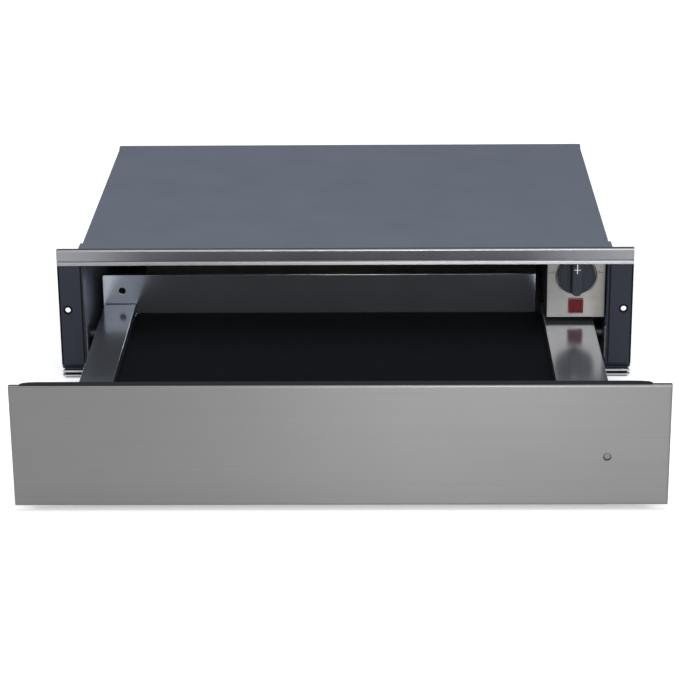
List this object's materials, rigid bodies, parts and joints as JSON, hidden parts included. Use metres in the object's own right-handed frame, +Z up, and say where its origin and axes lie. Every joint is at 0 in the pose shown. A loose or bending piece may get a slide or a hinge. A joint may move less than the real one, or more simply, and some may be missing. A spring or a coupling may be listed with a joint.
{
  "type": "built-in warming drawer",
  "caption": "Shallow built-in warming drawer, drawn out of its steel housing on ball runners, with a matted tray, side ledges, a plain front, and a knob and lamp on a recessed plate.",
  "frame": {"origin": "middle of the housing's underside, on the shelf of the niche, with the drawer drawn out towards -Y", "axes": "+X to the right seen from the front, +Y to the back of the niche, +Z up"},
  "size_m": [0.595, 0.7496, 0.14],
  "materials": {
    "coated_steel": "satin",
    "dark_paint": "satin",
    "brushed_steel": "brushed",
    "polished_steel": "polished",
    "zinc_steel": "zinc plated",
    "aluminium_wheel": "pressed",
    "black_rubber": "matte",
    "dark_plastic": "moulded",
    "pale_plastic": "moulded",
    "red_lens": "translucent look",
    "smoked_lens": "polished",
    "insulation_felt": "felt",
    "copper": "drawn",
    "motor_steel": "satin"
  },
  "bodies": {
    "housing": {"top_cover": "coated_steel", "side_wall_left": "coated_steel", "side_wall_right": "coated_steel", "rear_wall": "coated_steel", "bottom_plate": "coated_steel", "post_left": "dark_paint", "post_right": "dark_paint", "control_box": "dark_paint", "front_trim": "brushed_steel", "control_plate": "brushed_steel", "bottom_rail": "zinc_steel", "runner_outer_left": "zinc_steel", "runner_outer_right": "zinc_steel", "runner_screw_left_front": "zinc_steel", "runner_screw_left_rear": "zinc_steel", "runner_screw_right_front": "zinc_steel", "runner_screw_right_rear": "zinc_steel", "air_baffle": "zinc_steel", "heating_element": "zinc_steel", "element_bracket": "zinc_steel", "fan_scroll": "zinc_steel", "cable_gland": "black_rubber", "latch_body": "dark_plastic", "pilot_lamp_body": "pale_plastic", "terminal_block": "pale_plastic", "thermostat_body": "pale_plastic", "thermal_cut_out": "pale_plastic", "pilot_lamp_face": "red_lens", "base_insulation": "insulation_felt", "thermostat_bulb": "copper", "fan_motor": "motor_steel"},
    "drawer": {"tray_pan": "polished_steel", "anti_slip_mat": "black_rubber", "back_plate": "polished_steel", "front_panel": "brushed_steel", "front_liner": "dark_plastic", "panel_insulation": "insulation_felt", "pilot_lens": "smoked_lens", "side_rail_left": "polished_steel", "side_rail_right": "polished_steel", "front_bracket_left": "zinc_steel", "front_bracket_right": "zinc_steel", "buffer_left_lower": "black_rubber", "buffer_left_upper": "black_rubber", "buffer_right_lower": "black_rubber", "buffer_right_upper": "black_rubber", "latch_striker": "zinc_steel", "runner_inner_left": "zinc_steel", "runner_inner_right": "zinc_steel"},
    "runner_middles": {"runner_middle_left": "zinc_steel", "runner_middle_right": "zinc_steel"},
    "outer_cages": {"ball_cage_outer_left": "zinc_steel", "ball_cage_outer_right": "zinc_steel"},
    "inner_cages": {"ball_cage_inner_left": "zinc_steel", "ball_cage_inner_right": "zinc_steel"},
    "knob": {"thermostat_knob": "dark_plastic", "knob_spindle": "zinc_steel"},
    "fan": {"fan_wheel": "aluminium_wheel", "fan_shaft": "zinc_steel"},
    "plunger": {"latch_plunger": "pale_plastic"}
  },
  "joints": [
    {"name": "drawer_slide", "type": "slide", "parent": "housing", "child": "drawer", "axis": [0, 1, 0], "range_m": [0, 0.32]},
    {"name": "runner_middle_slide", "type": "slide", "parent": "housing", "child": "runner_middles", "axis": [0, 1, 0], "range_m": [0, 0.16]},
    {"name": "outer_cage_slide", "type": "slide", "parent": "housing", "child": "outer_cages", "axis": [0, 1, 0], "range_m": [0, 0.08]},
    {"name": "inner_cage_slide", "type": "slide", "parent": "housing", "child": "inner_cages", "axis": [0, 1, 0], "range_m": [0, 0.24]},
    {"name": "knob_turn", "type": "hinge", "parent": "housing", "child": "knob", "pos_m": [0.2398, -0.187, 0.107], "axis": [0, 1, 0], "range_deg": [0, 270]},
    {"name": "fan_spin", "type": "hinge", "parent": "housing", "child": "fan", "pos_m": [0.23, 0.059, 0.09755], "axis": [1, 0, 0], "continuous": true},
    {"name": "latch_push", "type": "slide", "parent": "housing", "child": "plunger", "axis": [0, 1, 0], "range_m": [0, 0.008], "stiffness_N_per_m": 400, "springref_m": -0.004}
  ],
  "couplings": [
    {"joint": "runner_middle_slide", "follows": "drawer_slide", "ratio": 0.5},
    {"joint": "outer_cage_slide", "follows": "drawer_slide", "ratio": 0.25},
    {"joint": "inner_cage_slide", "follows": "drawer_slide", "ratio": 0.75}
  ]
}
